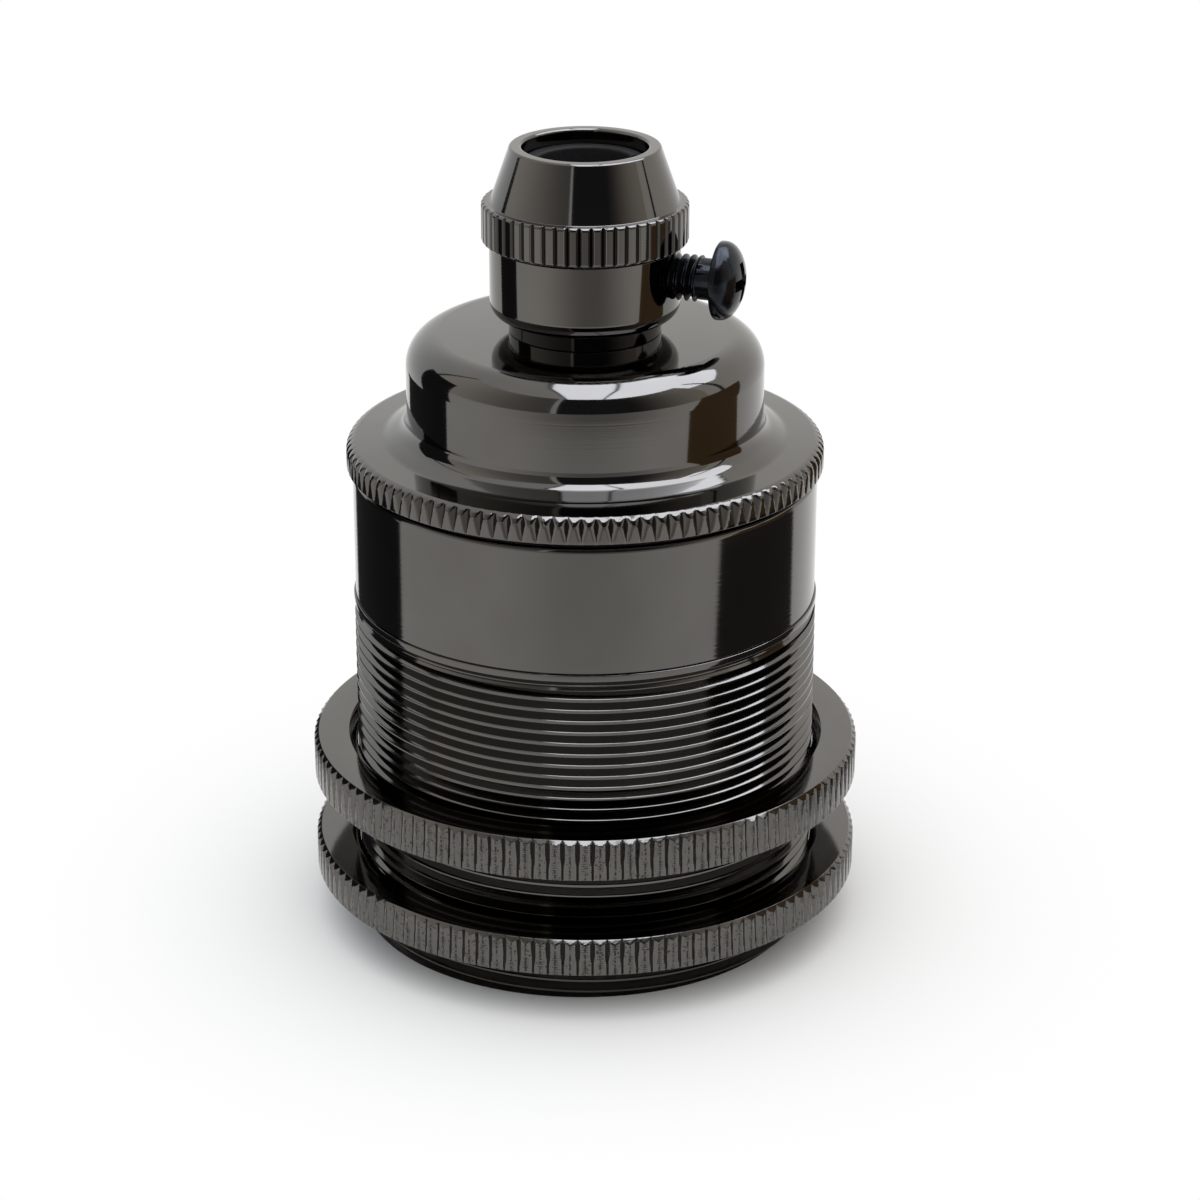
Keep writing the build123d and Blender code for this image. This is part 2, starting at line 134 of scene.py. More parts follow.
def add_node(tree, kind, settings=(), values=(), output=0):
    """Adds a node, sets it up, links or fills its sockets, and gives one of its outputs."""
    node = tree.nodes.new(kind)
    for name, value in dict(settings).items():
        setattr(node, name, value)
    for key, value in dict(values).items():
        if isinstance(value, Socket):
            tree.links.new(value.output, node.inputs[key])
        else:
            node.inputs[key].default_value = value
    return Socket(tree, node.outputs[output]) if node.outputs else None


def mix_colours(factor, first, second):
    """A colour between two colours."""
    settings = {"data_type": "RGBA"}
    values = {0: factor, 6: first, 7: second}
    return add_node(factor.tree, "ShaderNodeMix", settings, values, output=2)


def new_material(name):
    """An empty material and its tree."""
    material = bpy.data.materials.new(name)
    material.use_nodes = True
    material.node_tree.nodes.clear()
    return material, material.node_tree


def place_of(tree):
    """A point on the piece and its x, y and z, in millimetres."""
    coordinates = add_node(tree, "ShaderNodeTexCoord", output="Object")
    settings = {"operation": "SCALE"}
    point = add_node(tree, "ShaderNodeVectorMath", settings, {0: coordinates, "Scale": 1 / MM})
    split = [
        add_node(tree, "ShaderNodeSeparateXYZ", values={0: point}, output=axis) for axis in "XYZ"
    ]
    return point, split


def distance_across(x, y):
    """The level distance that two sockets, x and y, span."""
    return (x * x + y * y).power(0.5)


def camera_and_gloss(tree):
    """Two masks: what the camera sees, and what polished metal mirrors."""
    camera = add_node(tree, "ShaderNodeLightPath", output="Is Camera Ray")
    return camera, add_node(tree, "ShaderNodeLightPath", output="Is Glossy Ray")


def noise(tree, point, size, detail=2.0):
    """Smooth noise around 0.5 whose blobs are about size millimetres."""
    values = {"Vector": point, "Scale": 1 / size, "Detail": detail}
    return add_node(tree, "ShaderNodeTexNoise", values=values)


def noise_along(tree, distance, size, detail=2.0):
    """Smooth noise that changes only with one distance, for marks left by a lathe."""
    settings = {"noise_dimensions": "1D"}
    values = {"W": distance, "Scale": 1 / size, "Detail": detail}
    return add_node(tree, "ShaderNodeTexNoise", settings, values)


def bumped(tree, height, depth, strength=1.0):
    """A normal from a height of 0 to 1, where 1 stands depth millimetres proud."""
    values = {"Height": height, "Distance": depth * MM, "Strength": strength}
    return add_node(tree, "ShaderNodeBump", values=values)


def show(tree, shader):
    """Gives a shader to its material."""
    add_node(tree, "ShaderNodeOutputMaterial", values={"Surface": shader})


def glow(tree, colour, strength=1.0):
    """A shader that shines with one colour."""
    return add_node(tree, "ShaderNodeEmission", values={"Color": colour, "Strength": strength})


def surface(material, tree, values):
    """Finishes a material with one Principled shader."""
    show(tree, add_node(tree, "ShaderNodeBsdfPrincipled", values=values))
    return material


# Materials: colours as dark and light pairs, sizes in millimetres

NICKEL_DARK = (0.118, 0.112, 0.103, 1)
NICKEL_LIGHT = (0.127, 0.121, 0.112, 1)
NICKEL_MARK = (0.02, 0.018, 0.017, 1)
SCREW_DARK = (0.015, 0.016, 0.019, 1)
SCREW_LIGHT = (0.028, 0.03, 0.035, 1)
NYLON_DARK = (0.008, 0.008, 0.008, 1)
NYLON_LIGHT = (0.014, 0.014, 0.014, 1)
GLAZE_DARK = (0.80, 0.785, 0.74, 1)
GLAZE_LIGHT = (0.86, 0.85, 0.82, 1)
IRON_SPECK = (0.35, 0.28, 0.2, 1)

POLISH_CLOUD_SIZE = 6.0
POLISH_SPREAD = 0.03
LATHE_FEED = 0.93
METAL_GRAIN_SIZE = 0.4
METAL_GRAIN_DEPTH = 0.006
METAL_SPREAD = 0.16


def black_nickel(name, marks_depth, marks_size, roughness):
    """Polished black nickel plate over turned brass, with the lathe's fine rings.

    The rings follow the height on a wall and the radius on a flat.
    """
    material, tree = new_material(name)
    point, (x, y, z) = place_of(tree)
    along = z + distance_across(x, y) * LATHE_FEED
    rings = noise_along(tree, along, marks_size, detail=3.0)
    clouds = noise(tree, point, POLISH_CLOUD_SIZE)
    return surface(material, tree, {
        "Base Color": mix_colours(clouds.between(0.3, 0.7), NICKEL_DARK, NICKEL_LIGHT),
        "Metallic": 1.0,
        "Roughness": clouds * POLISH_SPREAD + rings * POLISH_SPREAD + (roughness - POLISH_SPREAD),
        "Normal": bumped(tree, rings, marks_depth),
    })


RING_NOTCHES = 120
CHATTER_PITCH = 0.21
CHATTER_WIDTH = 0.26
CHATTER_SWAY = 0.12
KNURL_CLOUD_SIZE = 1.1
KNURL_GRAIN_SIZE = 0.22
KNURL_MARK_DEPTH = 0.02


def knurled_nickel(name):
    """The same plate on the shade rings, with the cutter's chatter and pits on each tooth."""
    material, tree = new_material(name)
    point, (x, y, z) = place_of(tree)
    clouds = noise(tree, point, KNURL_CLOUD_SIZE)
    grain = noise(tree, point, KNURL_GRAIN_SIZE, detail=3.0)
    tooth = (y.angle(x) * (RING_NOTCHES / TAU)).ping_pong(0.5)
    middle = 1 - tooth.between(CHATTER_WIDTH / 2, CHATTER_WIDTH)
    scratches = (1 - tooth.between(0.05, 0.09)) * grain.between(0.47, 0.52)
    dashes = (z + grain * CHATTER_SWAY).ping_pong(CHATTER_PITCH / 2)
    chatter = dashes.between(CHATTER_PITCH * 0.3, CHATTER_PITCH * 0.4) * middle
    pits = grain.between(0.38, 0.32)
    facing = add_node(tree, "ShaderNodeNewGeometry", output="True Normal")
    upward = add_node(tree, "ShaderNodeSeparateXYZ", values={0: facing}, output="Z")
    side = 1 - (upward * upward).between(0.05, 0.2)
    marks = (chatter * clouds.between(0.5, 0.6)).larger(pits).larger(scratches) * side
    plain = mix_colours(clouds, NICKEL_DARK, NICKEL_LIGHT)
    return surface(material, tree, {
        "Base Color": mix_colours(marks * 0.85, plain, NICKEL_MARK),
        "Metallic": 1.0,
        "Roughness": clouds * 0.04 + grain * 0.03 + 0.06,
        "Normal": bumped(tree, grain * 0.12 - marks, KNURL_MARK_DEPTH),
    })


def blackened_steel(name):
    """The clamp screw's black oxide, slightly rough and worn at random."""
    material, tree = new_material(name)
    point, _ = place_of(tree)
    grain = noise(tree, point, 0.18, detail=3.0)
    clouds = noise(tree, point, 1.5)
    return surface(material, tree, {
        "Base Color": mix_colours(clouds.between(0.35, 0.7), SCREW_DARK, SCREW_LIGHT),
        "Metallic": 0.9,
        "Roughness": grain * 0.1 + 0.13,
        "Normal": bumped(tree, grain, METAL_GRAIN_DEPTH),
    })


def moulded_nylon(name):
    """The liner's black plastic."""
    material, tree = new_material(name)
    point, _ = place_of(tree)
    grain = noise(tree, point, 0.3)
    return surface(material, tree, {
        "Base Color": mix_colours(grain, NYLON_DARK, NYLON_LIGHT),
        "Roughness": grain * 0.15 + 0.5,
        "Specular IOR Level": 0.12,
        "Normal": bumped(tree, grain, 0.01),
    })


def glazed_porcelain(name):
    """White glaze with a faint waviness and a few iron specks."""
    material, tree = new_material(name)
    point, _ = place_of(tree)
    waves = noise(tree, point, 5.0)
    specks = noise(tree, point, 0.5, detail=0.0).between(0.8, 0.84)
    clean = mix_colours(waves, GLAZE_DARK, GLAZE_LIGHT)
    return surface(material, tree, {
        "Base Color": mix_colours(specks, clean, IRON_SPECK),
        "Roughness": waves * 0.08 + 0.1,
        "Coat Weight": 0.6,
        "Coat Roughness": 0.05,
        "Normal": bumped(tree, waves, 0.05),
    })


def plain_metal(name, dark, light, roughness):
    """A bare or plated small metal part with a fine grain."""
    material, tree = new_material(name)
    point, _ = place_of(tree)
    grain = noise(tree, point, METAL_GRAIN_SIZE, detail=3.0)
    return surface(material, tree, {
        "Base Color": mix_colours(grain, (*dark, 1), (*light, 1)),
        "Metallic": 1.0,
        "Roughness": grain * METAL_SPREAD + (roughness - METAL_SPREAD / 2),
        "Normal": bumped(tree, grain, METAL_GRAIN_DEPTH),
    })


MATERIALS = {
    "black_nickel": black_nickel("black_nickel", 0.0012, 0.17, 0.07),
    "black_nickel_sleeve": black_nickel("black_nickel_sleeve", 0.0045, 0.19, 0.085),
    "black_nickel_knurl": knurled_nickel("black_nickel_knurl"),
    "black_screw": blackened_steel("black_screw"),
    "black_plastic": moulded_nylon("black_plastic"),
    "porcelain": glazed_porcelain("porcelain"),
    "zinc_steel": plain_metal("zinc_steel", (0.5, 0.5, 0.49), (0.62, 0.61, 0.6), 0.3),
    "bare_brass": plain_metal("bare_brass", (0.6, 0.43, 0.17), (0.72, 0.54, 0.25), 0.27),
    "nickel_sheet": plain_metal("nickel_sheet", (0.5, 0.48, 0.43), (0.62, 0.6, 0.54), 0.24),
    "contact_bronze": plain_metal("contact_bronze", (0.55, 0.34, 0.2), (0.66, 0.43, 0.27), 0.28),
}


# Mesh tools

# A rounding below each first number gets the second number of segments.
ROUND_SEGMENTS = ((0.2, 4), (1.0, 6), (99.0, 10))
ROUND_HELD = 0.2
FLAT_HOLD = 0.03
MERGE_DISTANCE = 1e-4
CUT_DISTANCE = 1e-6


def corner_arc(outline, index):
    """The points of one corner of an outline: the corner itself, or its rounding's arc.

    A large rounding gets one more point on each side, so that the shading of the flats beside
    it stays flat.
    """
    radius, height, rounding = outline[index]
    corner = Vector((radius, height))
    if not rounding:
        return [corner]
    before = (Vector(outline[index - 1][:2]) - corner).normalized()
    after = (Vector(outline[(index + 1) % len(outline)][:2]) - corner).normalized()
    half = before.angle(after) / 2
    centre = corner + (before + after).normalized() * (rounding / math.sin(half))
    start = corner + before * (rounding / math.tan(half)) - centre
    end = corner + after * (rounding / math.tan(half)) - centre
    segments = next(count for limit, count in ROUND_SEGMENTS if rounding < limit)
    arc = [
        centre + start.slerp(end, step / segments) * rounding for step in range(segments + 1)
    ]
    if rounding < ROUND_HELD:
        return arc
    return [arc[0] + before * FLAT_HOLD, *arc, arc[-1] + after * FLAT_HOLD]


def turned(outline, steps=160, rows=(), teeth=1):
    """Turns a closed outline of (radius, height, rounding) corners round the axis.

    rows says how many equal rows a side gets, by the index of the corner where it starts. A
    piece with teeth is turned through one tooth, which is then repeated all round.
    """
    mesh = bmesh.new()
    line = []
    ends = []
    for index in range(len(outline)):
        line += [mesh.verts.new((at.x, 0, at.y)) for at in corner_arc(outline, index)]
        ends.append(len(line) - 1)
    sides = [mesh.edges.new(pair) for pair in zip(line, line[1:] + line[:1])]
    for index, count in dict(rows).items():
        bmesh.ops.subdivide_edges(mesh, edges=[sides[ends[index]]], cuts=count - 1)
    bmesh.ops.spin(
        mesh, geom=mesh.verts[:] + mesh.edges[:], cent=(0, 0, 0), axis=(0, 0, 1),
        angle=TAU / teeth, steps=steps, use_merge=teeth == 1,
    )
    if teeth > 1:
        bmesh.ops.spin(
            mesh, geom=mesh.verts[:] + mesh.edges[:] + mesh.faces[:], cent=(0, 0, 0),
            axis=(0, 0, 1), angle=TAU - TAU / teeth, steps=teeth - 1, use_duplicate=True,
        )
    bmesh.ops.remove_doubles(mesh, verts=mesh.verts, dist=MERGE_DISTANCE)
    return mesh


def radius_of(vert):
    """How far a point stands from the axis."""
    return math.hypot(vert.co.x, vert.co.y)


def turn_of(vert):
    """A point's place round the axis, as a share of a full turn."""
    return math.atan2(vert.co.y, vert.co.x) / TAU


def scale_radius(vert, factor):
    """Moves a point straight towards the axis, or away from it."""
    vert.co.x *= factor
    vert.co.y *= factor


def cut_round(mesh, limit):
    """Cuts teeth in a turned mesh: no point stands further out than limit(turn, height)."""
    for vert in mesh.verts:
        radius = radius_of(vert)
        allowed = limit(turn_of(vert), vert.co.z)
        if radius > allowed:
            scale_radius(vert, allowed / radius)


def screw_skin(thread, pitch, low, high, inner, steps=144):
    """A threaded tube from low to high, closed at both ends down to the inner radius.

    thread is one pitch of (radius, share of the pitch) points.
    """
    mesh = bmesh.new()
    turns = math.ceil((high - low) / pitch) + 2
    line = [
        mesh.verts.new((radius, 0, low + (turn - 1 + share) * pitch))
        for turn in range(turns)
        for radius, share in thread
    ]
    edges = [mesh.edges.new(pair) for pair in zip(line, line[1:])]
    bmesh.ops.spin(
        mesh, geom=line + edges, cent=(0, 0, 0), axis=(0, 0, 1), angle=TAU, steps=steps,
        dvec=(0, 0, -pitch / steps), use_merge=False,
    )
    bmesh.ops.remove_doubles(mesh, verts=mesh.verts, dist=MERGE_DISTANCE)
    rings = []
    for level, out in ((low, -1), (high, 1)):
        cut = bmesh.ops.bisect_plane(
            mesh, geom=mesh.verts[:] + mesh.edges[:] + mesh.faces[:], dist=CUT_DISTANCE,
            plane_co=(0, 0, level), plane_no=(0, 0, out), clear_outer=True,
        )
        rim = [item for item in cut["geom_cut"] if isinstance(item, bmesh.types.BMEdge)]
        wall = bmesh.ops.extrude_edge_only(mesh, edges=rim)["geom"]
        for vert in (item for item in wall if isinstance(item, bmesh.types.BMVert)):
            scale_radius(vert, inner / radius_of(vert))
        rings += [
            item for item in wall
            if isinstance(item, bmesh.types.BMEdge)
            and all(radius_of(vert) < inner * 1.001 for vert in item.verts)
        ]
    bmesh.ops.bridge_loops(mesh, edges=rings)
    return mesh


def join_into(mesh, other):
    """Adds another bmesh to a mesh, and frees it."""
    carried = bpy.data.meshes.new("carried")
    other.to_mesh(carried)
    other.free()
    mesh.from_mesh(carried)
    bpy.data.meshes.remove(carried)


def aimed(mesh, place):
    """Moves a mesh that was made round Z to its place."""
    bmesh.ops.transform(mesh, matrix=place, verts=mesh.verts)


def to_object(name, mesh):
    """Makes an object of a bmesh, and frees the bmesh."""
    data = bpy.data.meshes.new(name)
    mesh.to_mesh(data)
    mesh.free()
    made = bpy.data.objects.new(name, data)
    bpy.context.scene.collection.objects.link(made)
    return made


def piece(name, mesh, node, material, sharp=30.0):
    """Makes an object of a mesh in millimetres and puts it in the place of a CAD node.

    Faces that meet at more than sharp degrees keep a hard edge.
    """
    bmesh.ops.recalc_face_normals(mesh, faces=mesh.faces)
    bmesh.ops.scale(mesh, vec=(MM, MM, MM), verts=mesh.verts)
    for face in mesh.faces:
        face.smooth = True
    for edge in mesh.edges:
        edge.smooth = len(edge.link_faces) != 2 or edge.calc_face_angle() < math.radians(sharp)
    made = to_object(name, mesh)
    made.data.materials.append(MATERIALS[material])
    body = next(b for b, nodes in frame["record"]["behaviour"]["bodies"].items() if node in nodes)
    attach(made, body)
    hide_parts(node)
    return made


def cut_with(made, cutter):
    """Cuts a piece with a mesh in millimetres, and leaves no modifier behind."""
    bmesh.ops.scale(cutter, vec=(MM, MM, MM), verts=cutter.verts)
    bmesh.ops.recalc_face_normals(cutter, faces=cutter.faces)
    tool = to_object("cutter", cutter)
    cut = made.modifiers.new("cut", "BOOLEAN")
    cut.operation = "DIFFERENCE"
    cut.solver = "EXACT"
    cut.use_self = True
    cut.object = tool
    bpy.context.view_layer.update()
    shaped = made.evaluated_get(bpy.context.evaluated_depsgraph_get())
    fresh = bpy.data.meshes.new_from_object(shaped)
    made.modifiers.clear()
    made.data = fresh
    bpy.data.objects.remove(tool)


def high(node):
    """A node's highest corner, in millimetres."""
    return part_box(node)[1] / MM


def low(node):
    """A node's lowest corner, in millimetres."""
    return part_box(node)[0] / MM


# Pieces of the holder

SLEEVE_THREAD_RADIUS = 20.0
SLEEVE_THREAD_ROOT = 19.32
SLEEVE_THREAD_TOP = 28.5
SLEEVE_PITCH = 1.0
SLEEVE_CORE = SLEEVE_THREAD_ROOT - 0.08
SLEEVE_SKIN_BORE = SLEEVE_CORE - 0.2
SLEEVE_BODY_RADIUS = 19.9
SLEEVE_BODY_STEP = 0.05
SLEEVE_BODY_STEP_HEIGHT = 0.06
SLEEVE_BORE = 17.8
SLEEVE_EDGE = 0.4
RELIEF_RADIUS = 19.5
RELIEF_CREST = 19.82
RELIEF_HEIGHT = 0.85
RELIEF_START = 0.02
RELIEF_TOOTH_LOW = 0.43
RELIEF_TOOTH_HIGH = 0.37
STRIP_HEIGHT = 0.6
STRIP_EDGE = 0.08
LIP_BORE = 16.0
LIP_HEIGHT = 1.4
LIP_EDGE = 0.15
FOOT_CHAMFER = 0.1
CAP_THREAD_BORE = 18.83
CAP_THREAD_FLOOR = 37.45


def make_sleeve():
    """The outer sleeve, with its M40 thread cut as a real helix.

    Between the thread and the strip that stands proud lies the saw-toothed relief. The thread
    has extra points beside its crest, so that the shading of its flanks stays flat.
    """
    top = high("outer_sleeve").z
    strip_radius = high("outer_sleeve").x
    strip_low = SLEEVE_THREAD_TOP + RELIEF_HEIGHT
    strip_high = strip_low + STRIP_HEIGHT
    sleeve = turned([
        (LIP_BORE, 0, LIP_EDGE),
        (SLEEVE_CORE, 0, 0),
        (SLEEVE_CORE, SLEEVE_THREAD_TOP, 0),
        (RELIEF_CREST, SLEEVE_THREAD_TOP + RELIEF_START, 0),
        (RELIEF_RADIUS, strip_low - RELIEF_TOOTH_LOW - 0.01, 0),
        (RELIEF_CREST, strip_low - RELIEF_TOOTH_LOW, 0),
        (RELIEF_CREST, strip_low - RELIEF_TOOTH_HIGH, 0),
        (RELIEF_RADIUS, strip_low, 0),
        (strip_radius, strip_low, STRIP_EDGE),
        (strip_radius, strip_high, STRIP_EDGE),
        (SLEEVE_BODY_RADIUS - SLEEVE_BODY_STEP, strip_high, 0),
        (SLEEVE_BODY_RADIUS - SLEEVE_BODY_STEP, strip_high + SLEEVE_BODY_STEP_HEIGHT, 0),
        (SLEEVE_BODY_RADIUS, strip_high + 2 * SLEEVE_BODY_STEP_HEIGHT, 0),
        (SLEEVE_BODY_RADIUS, top, SLEEVE_EDGE),
        (CAP_THREAD_BORE, top, 0.12),
        (CAP_THREAD_BORE, CAP_THREAD_FLOOR, 0),
        (SLEEVE_BORE, CAP_THREAD_FLOOR, 0.1),
        (SLEEVE_BORE, LIP_HEIGHT, 0),
        (LIP_BORE, LIP_HEIGHT, LIP_EDGE),
    ], steps=240)
    thread = [
        (SLEEVE_THREAD_ROOT, 0.0),
        (SLEEVE_THREAD_ROOT, 0.1),
        (SLEEVE_THREAD_RADIUS - 0.03, 0.42),
        (SLEEVE_THREAD_RADIUS, 0.435),
        (SLEEVE_THREAD_RADIUS, 0.545),
        (SLEEVE_THREAD_RADIUS - 0.01, 0.56),
        (SLEEVE_THREAD_RADIUS - 0.03, 0.577),
        (SLEEVE_THREAD_RADIUS - 0.06, 0.597),
    ]
    skin = screw_skin(thread, SLEEVE_PITCH, 0, SLEEVE_THREAD_TOP, SLEEVE_SKIN_BORE, steps=180)
    cut_round(skin, lambda turn, height: SLEEVE_THREAD_RADIUS - max(0, FOOT_CHAMFER - height))
    join_into(sleeve, skin)
    piece("sleeve", sleeve, "outer_sleeve", "black_nickel_sleeve", sharp=18.0)


RING_BORE = 20.08
RING_LEAD_IN = 0.75
RING_CHAMFER = 0.4
RING_EDGE = 0.05
RING_STEPS_PER_NOTCH = 12
RING_NOTCH_DEPTH = 0.45
RING_NOTCH_END = 0.14
RING_NOTCH_SLOPE = 1.25
RING_NOTCH_TOP = 0.32
RING_NOTCH_RISE = 0.35
RING_FLANK_DEPTH = 0.27
RING_FLANK_END = 0.05
RING_FLANK_SLOPE = 0.42


def ring_limit(outer, bottom, top):
    """The radius that the ring's notches leave: Vs that are deep at the top and narrow below.

    Each has a narrow V in the middle of a wide, flatter one that points the tooth's top.
    """
    pitch = TAU * outer / RING_NOTCHES

    def limit(turn, height):
        share = (height - bottom) / (top - bottom)
        depth = RING_NOTCH_END + (RING_NOTCH_DEPTH - RING_NOTCH_END) * share
        depth = min(depth, RING_NOTCH_TOP + (top - height) * RING_NOTCH_RISE)
        flank = RING_FLANK_END + (RING_FLANK_DEPTH - RING_FLANK_END) * share
        off = abs((turn * RING_NOTCHES) % 1 - 0.5) * pitch
        return outer - max(0, depth - off * RING_NOTCH_SLOPE, flank - off * RING_FLANK_SLOPE)
    return limit


def make_ring(node):
    """A shade ring: chamfered, countersunk and notched all round."""
    outer = high(node).x
    bottom = low(node).z
    top = high(node).z
    mesh = turned([
        (RING_BORE, bottom + RING_LEAD_IN, RING_EDGE),
        (RING_BORE + RING_LEAD_IN, bottom, RING_EDGE),
        (outer, bottom, 0.04),
        (outer, top - RING_CHAMFER, 0.03),
        (outer - RING_CHAMFER, top, RING_EDGE),
        (RING_BORE + RING_LEAD_IN, top, RING_EDGE),
        (RING_BORE, top - RING_LEAD_IN, RING_EDGE),
    ], steps=RING_STEPS_PER_NOTCH, rows={2: 5, 3: 5}, teeth=RING_NOTCHES)
    cut_round(mesh, ring_limit(outer, bottom, top))
    piece(node.replace("_shade", ""), mesh, node, "black_nickel_knurl", sharp=10.0)


RIM_NOTCHES = 105
RIM_STEPS_PER_NOTCH = 8
RIM_NOTCH_DEPTH = 0.55
RIM_NOTCH_END = 0.06
RIM_BOTTOM = 41.55
RIM_EDGE = 0.9
CAP_SEAT = 43.0
RIM_RISE = 0.7
DOME_RADIUS = 15.2
DOME_FOOT_RISE = 1.85
DOME_FOOT_RADIUS = 1.4
DISH_REACH = 2.0
DISH_RISE = 0.95
DISH_RADIUS = 1.5
CROWN_FALL = 0.25
CROWN_RADIUS = 2.8
CAP_WALL = 1.0
CAP_EDGE = 0.08
SKIRT_RADIUS = 18.75
SKIRT_WALL = 0.85
SKIRT_THREAD_ROOT = SKIRT_RADIUS - 0.54
SKIRT_CORE = SKIRT_RADIUS - 0.6
SKIRT_SKIN_BORE = SKIRT_RADIUS - 0.7
SKIRT_THREAD_END = 0.3
NIPPLE_HOLE = 5.05
NECK_RADIUS = 6.45


def rim_limit(outer):
    """The radius that the rim's notches leave: a V that is deepest at the top of the rim."""
    rim_top = CAP_SEAT + RIM_RISE
    half_width = math.pi * outer / RIM_NOTCHES

    def limit(turn, height):
        if height < RIM_BOTTOM - 0.01:
            return outer
        share = (height - RIM_BOTTOM) / (rim_top - RIM_BOTTOM)
        depth = RIM_NOTCH_END + (RIM_NOTCH_DEPTH - RIM_NOTCH_END) * share
        off = abs((turn * RIM_NOTCHES) % 1 - 0.5) * 2 * half_width
        return outer - max(0, depth - off * RIM_NOTCH_DEPTH / half_width)
    return limit


def make_cap():
    """The cap: crown, dome, flange, notched rim and threaded skirt."""
    outer = high("cap").y
    crown = high("cap").z
    skirt_bottom = low("cap").z
    under = crown - CAP_WALL
    bore = DOME_RADIUS - CAP_WALL
    skirt_bore = SKIRT_RADIUS - SKIRT_WALL
    mesh = turned([
        (NIPPLE_HOLE, crown, 0),
        (NECK_RADIUS, crown, 0),
        (DOME_RADIUS, crown - CROWN_FALL, CROWN_RADIUS),
        (DOME_RADIUS, CAP_SEAT + DOME_FOOT_RISE, DOME_FOOT_RADIUS),
        (DOME_RADIUS + DISH_REACH, CAP_SEAT + DISH_RISE, DISH_RADIUS),
        (outer, CAP_SEAT + RIM_RISE, RIM_EDGE),
        (outer, RIM_BOTTOM, CAP_EDGE),
        (SKIRT_CORE, RIM_BOTTOM, 0),
        (SKIRT_CORE, skirt_bottom, 0),
        (skirt_bore, skirt_bottom, CAP_EDGE),
        (skirt_bore, CAP_SEAT, 0.2),
        (bore, CAP_SEAT, 0.3),
        (bore, under, CROWN_RADIUS - CAP_WALL),
        (NIPPLE_HOLE, under, 0),
    ], steps=RIM_STEPS_PER_NOTCH, rows={5: 4}, teeth=RIM_NOTCHES)
    cut_round(mesh, rim_limit(outer))
    thread = [
        (SKIRT_THREAD_ROOT, 0.0),
        (SKIRT_THREAD_ROOT, 0.14),
        (SKIRT_RADIUS - 0.03, 0.47),
        (SKIRT_RADIUS, 0.56),
        (SKIRT_RADIUS - 0.03, 0.65),
    ]
    thread_end = RIM_BOTTOM - SKIRT_THREAD_END
    skin = screw_skin(thread, SLEEVE_PITCH, skirt_bottom, thread_end, SKIRT_SKIN_BORE)
    join_into(mesh, skin)
    piece("dome_cap", mesh, "cap", "black_nickel")


GRIP_NECK_HEIGHT = 1.3
BARREL_RADIUS = 8.04
BARREL_ROUND = 1.4
COLLAR_FOOT = 7.85
COLLAR_HEIGHT = 3.35
COLLAR_EDGE = 0.3
COLLAR_GROOVE = 0.3
COLLAR_GROOVE_RISE = 0.25
FLUTES = 54
FLUTE_STEPS = 12
FLUTE_DEPTH = 0.36
FLUTE_SHARE = 0.42
CONE_FOOT = 7.95
CONE_TOP = 6.3
MOUTH_RADIUS = 5.25
MOUTH_EDGE = 0.25
NIPPLE_ENGAGEMENT = 3.2


def grip_limit(outer, foot):
    """The radius that the collar's flutes leave: V slots between flat lands."""
    def limit(turn, height):
        if not foot - 0.01 < height < foot + COLLAR_HEIGHT + 0.01:
            return outer
        place = abs((turn * FLUTES) % 1 - 0.5) * 2
        return outer - FLUTE_DEPTH * max(0, 1 - (1 - place) / FLUTE_SHARE)
    return limit


def make_grip():
    """The cord grip: cone, fluted collar and barrel."""
    base = low("cord_grip").z
    top = high("cord_grip").z
    outer = high("cord_grip").y
    foot = base + COLLAR_FOOT
    head = foot + COLLAR_HEIGHT
    mesh = turned([
        (NIPPLE_HOLE, base, 0),
        (NECK_RADIUS, base, 0.1),
        (NECK_RADIUS, base + GRIP_NECK_HEIGHT, 0.1),
        (BARREL_RADIUS, base + GRIP_NECK_HEIGHT, BARREL_ROUND),
        (BARREL_RADIUS, foot - COLLAR_GROOVE_RISE, 0.05),
        (BARREL_RADIUS - COLLAR_GROOVE, foot, 0.05),
        (outer, foot, COLLAR_EDGE),
        (outer, head, COLLAR_EDGE),
        (CONE_FOOT, head, 0.08),
        (CONE_TOP, top, MOUTH_EDGE),
        (MOUTH_RADIUS, top, MOUTH_EDGE),
        (MOUTH_RADIUS, base + NIPPLE_ENGAGEMENT, 0),
        (NIPPLE_HOLE, base + NIPPLE_ENGAGEMENT, 0),
    ], steps=FLUTE_STEPS, rows={6: 3}, teeth=FLUTES)
    cut_round(mesh, grip_limit(outer, foot))
    piece("grip", mesh, "cord_grip", "black_nickel")


SCREW_TURN = math.radians(18.0)
SCREW_LEVEL = 5.35
SCREW_STAND_OFF = 11.6
SCREW_LENGTH = 7.4
SCREW_RADIUS = 1.95
SCREW_CORE = 1.5
SCREW_PITCH = 0.7
SCREW_NECK = 1.75
SCREW_NECK_LENGTH = 1.5
SCREW_HEAD_RADIUS = 3.3
SCREW_HEAD_SIDE = 0.4
SCREW_HEAD_HEIGHT = 2.2
DOME_STEPS = 14
RECESS_SPAN = 3.6
RECESS_WIDTH = 0.95
RECESS_DEPTH = 1.4
RECESS_ABOVE = 0.4


